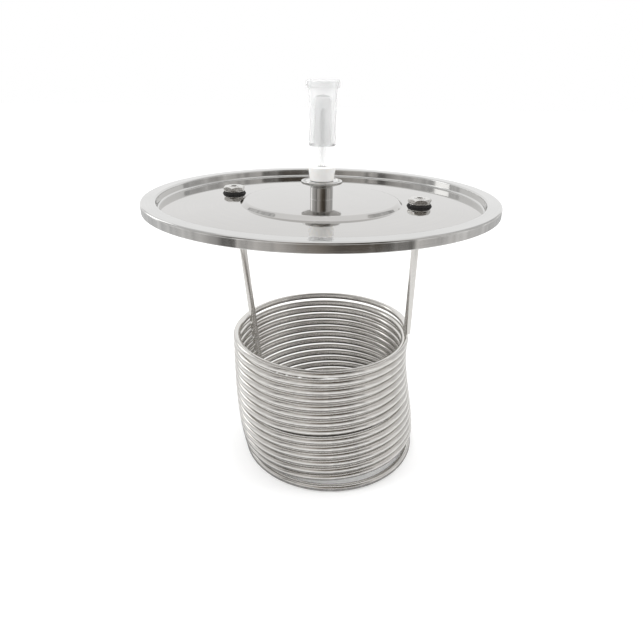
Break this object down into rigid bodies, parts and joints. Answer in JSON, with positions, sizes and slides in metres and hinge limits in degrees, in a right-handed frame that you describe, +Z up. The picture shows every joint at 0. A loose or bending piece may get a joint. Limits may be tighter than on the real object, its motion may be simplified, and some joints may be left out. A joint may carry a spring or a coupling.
{
  "type": "immersion wort chiller",
  "caption": "Round steel vessel lid with a stoppered centre port and airlock, and a helical cooling coil hung below it from bulkhead fittings.",
  "frame": {"origin": "on the floor under the centre of the lid; the object stands on the coil's level bottom turn", "axes": "+Z up along the centre port's axis, -Y towards the front of the lid, +X towards the supply leg"},
  "size_m": [0.43, 0.43, 0.4932],
  "materials": {
    "polished_steel": "polished",
    "coil_steel": "bright drawn tube",
    "fitting_steel": "satin",
    "white_silicone": "matte",
    "black_rubber": "matte",
    "clear_plastic": "clear"
  },
  "bodies": {
    "lid": {"lid_pan": "polished_steel", "lid_rim": "polished_steel", "rim_gasket": "white_silicone", "port_ferrule": "polished_steel", "coil": "coil_steel", "supply_leg": "coil_steel", "return_leg": "coil_steel", "supply_stub": "fitting_steel", "supply_lower_seal": "white_silicone", "supply_upper_seal": "black_rubber", "supply_washer": "fitting_steel", "return_stub": "fitting_steel", "return_lower_seal": "white_silicone", "return_upper_seal": "black_rubber", "return_washer": "fitting_steel"},
    "stopper": {"stopper": "white_silicone"},
    "airlock": {"airlock_body": "clear_plastic"},
    "float": {"airlock_float": "clear_plastic"},
    "cap": {"airlock_cap": "clear_plastic"},
    "supply_nut": {"supply_nut": "fitting_steel"},
    "return_nut": {"return_nut": "fitting_steel"}
  },
  "joints": [
    {"name": "stopper_lift", "type": "slide", "parent": "lid", "child": "stopper", "axis": [0, 0, 1], "range_m": [0, 0.03]},
    {"name": "airlock_lift", "type": "slide", "parent": "stopper", "child": "airlock", "axis": [0, 0, 1], "range_m": [0, 0.03]},
    {"name": "float_rise", "type": "slide", "parent": "airlock", "child": "float", "axis": [0, 0, 1], "range_m": [0, 0.013]},
    {"name": "cap_lift", "type": "slide", "parent": "airlock", "child": "cap", "axis": [0, 0, 1], "range_m": [0, 0.02]},
    {"name": "supply_nut_turn", "type": "hinge", "parent": "lid", "child": "supply_nut", "pos_m": [0.1195, -0.017, 0.3626], "axis": [0, 0, 1], "range_deg": [0, 360]},
    {"name": "return_nut_turn", "type": "hinge", "parent": "lid", "child": "return_nut", "pos_m": [-0.1165, 0.046, 0.3626], "axis": [0, 0, 1], "range_deg": [0, 360]}
  ]
}
